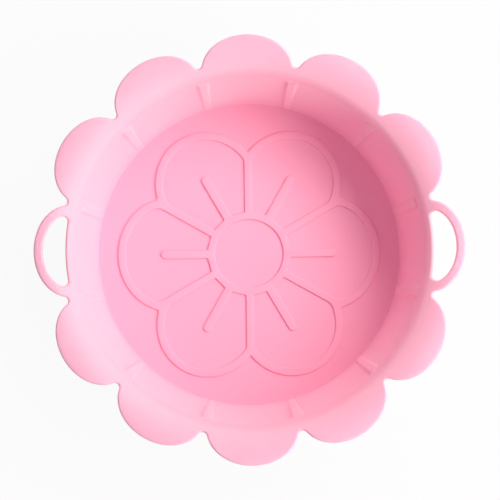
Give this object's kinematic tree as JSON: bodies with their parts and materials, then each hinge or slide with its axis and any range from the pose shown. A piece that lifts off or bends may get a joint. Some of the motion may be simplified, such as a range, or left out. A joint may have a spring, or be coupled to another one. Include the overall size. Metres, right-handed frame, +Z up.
{
  "type": "silicone air fryer liner",
  "caption": "Round silicone liner for an air fryer basket: a drafted, ribbed bowl with a raised flower web on its floor, a scalloped rim of flexible lobes and loop handles.",
  "frame": {"origin": "middle of the underside of the floor, on the surface that the liner stands on", "axes": "+Z up out of the mouth, +X towards the right handle, +Y towards the top of the picture"},
  "size_m": [0.23, 0.23, 0.0557],
  "materials": {
    "silicone": "matte, slightly translucent moulded silicone"
  },
  "bodies": {
    "bowl": {"floor": "silicone", "floor_flower": "silicone", "side_wall": "silicone", "wall_rib_01": "silicone", "wall_rib_02": "silicone", "wall_rib_03": "silicone", "wall_rib_04": "silicone", "wall_rib_05": "silicone", "wall_rib_06": "silicone", "wall_rib_07": "silicone", "wall_rib_08": "silicone", "wall_rib_09": "silicone", "wall_rib_10": "silicone", "wall_rib_11": "silicone", "wall_rib_12": "silicone"},
    "right_handle": {"handle_right": "silicone"},
    "left_handle": {"handle_left": "silicone"},
    "petal_01": {"rim_petal_01": "silicone"},
    "petal_02": {"rim_petal_02": "silicone"},
    "petal_03": {"rim_petal_03": "silicone"},
    "petal_04": {"rim_petal_04": "silicone"},
    "petal_05": {"rim_petal_05": "silicone"},
    "petal_06": {"rim_petal_06": "silicone"},
    "petal_07": {"rim_petal_07": "silicone"},
    "petal_08": {"rim_petal_08": "silicone"},
    "petal_09": {"rim_petal_09": "silicone"},
    "petal_10": {"rim_petal_10": "silicone"}
  },
  "joints": [
    {"name": "right_handle_bend", "type": "hinge", "parent": "bowl", "child": "right_handle", "pos_m": [0.0999, 0, 0.05117], "axis": [0, -1, 0], "range_deg": [-60, 75], "stiffness_Nm_per_rad": 0.02},
    {"name": "left_handle_bend", "type": "hinge", "parent": "bowl", "child": "left_handle", "pos_m": [-0.0999, 0, 0.05117], "axis": [0, 1, 0], "range_deg": [-60, 75], "stiffness_Nm_per_rad": 0.02},
    {"name": "petal_01_bend", "type": "hinge", "parent": "bowl", "child": "petal_01", "pos_m": [0.08626, 0.0498, 0.051], "axis": [0.5, -0.866, 0], "range_deg": [-45, 70], "stiffness_Nm_per_rad": 0.02},
    {"name": "petal_02_bend", "type": "hinge", "parent": "bowl", "child": "petal_02", "pos_m": [0.0498, 0.08626, 0.051], "axis": [0.866, -0.5, 0], "range_deg": [-45, 70], "stiffness_Nm_per_rad": 0.02},
    {"name": "petal_03_bend", "type": "hinge", "parent": "bowl", "child": "petal_03", "pos_m": [0, 0.0996, 0.051], "axis": [1, 0, 0], "range_deg": [-45, 70], "stiffness_Nm_per_rad": 0.02},
    {"name": "petal_04_bend", "type": "hinge", "parent": "bowl", "child": "petal_04", "pos_m": [-0.0498, 0.08626, 0.051], "axis": [0.866, 0.5, 0], "range_deg": [-45, 70], "stiffness_Nm_per_rad": 0.02},
    {"name": "petal_05_bend", "type": "hinge", "parent": "bowl", "child": "petal_05", "pos_m": [-0.08626, 0.0498, 0.051], "axis": [0.5, 0.866, 0], "range_deg": [-45, 70], "stiffness_Nm_per_rad": 0.02},
    {"name": "petal_06_bend", "type": "hinge", "parent": "bowl", "child": "petal_06", "pos_m": [-0.08626, -0.0498, 0.051], "axis": [-0.5, 0.866, 0], "range_deg": [-45, 70], "stiffness_Nm_per_rad": 0.02},
    {"name": "petal_07_bend", "type": "hinge", "parent": "bowl", "child": "petal_07", "pos_m": [-0.0498, -0.08626, 0.051], "axis": [-0.866, 0.5, 0], "range_deg": [-45, 70], "stiffness_Nm_per_rad": 0.02},
    {"name": "petal_08_bend", "type": "hinge", "parent": "bowl", "child": "petal_08", "pos_m": [0, -0.0996, 0.051], "axis": [-1, 0, 0], "range_deg": [-45, 70], "stiffness_Nm_per_rad": 0.02},
    {"name": "petal_09_bend", "type": "hinge", "parent": "bowl", "child": "petal_09", "pos_m": [0.0498, -0.08626, 0.051], "axis": [-0.866, -0.5, 0], "range_deg": [-45, 70], "stiffness_Nm_per_rad": 0.02},
    {"name": "petal_10_bend", "type": "hinge", "parent": "bowl", "child": "petal_10", "pos_m": [0.08626, -0.0498, 0.051], "axis": [-0.5, -0.866, 0], "range_deg": [-45, 70], "stiffness_Nm_per_rad": 0.02}
  ]
}
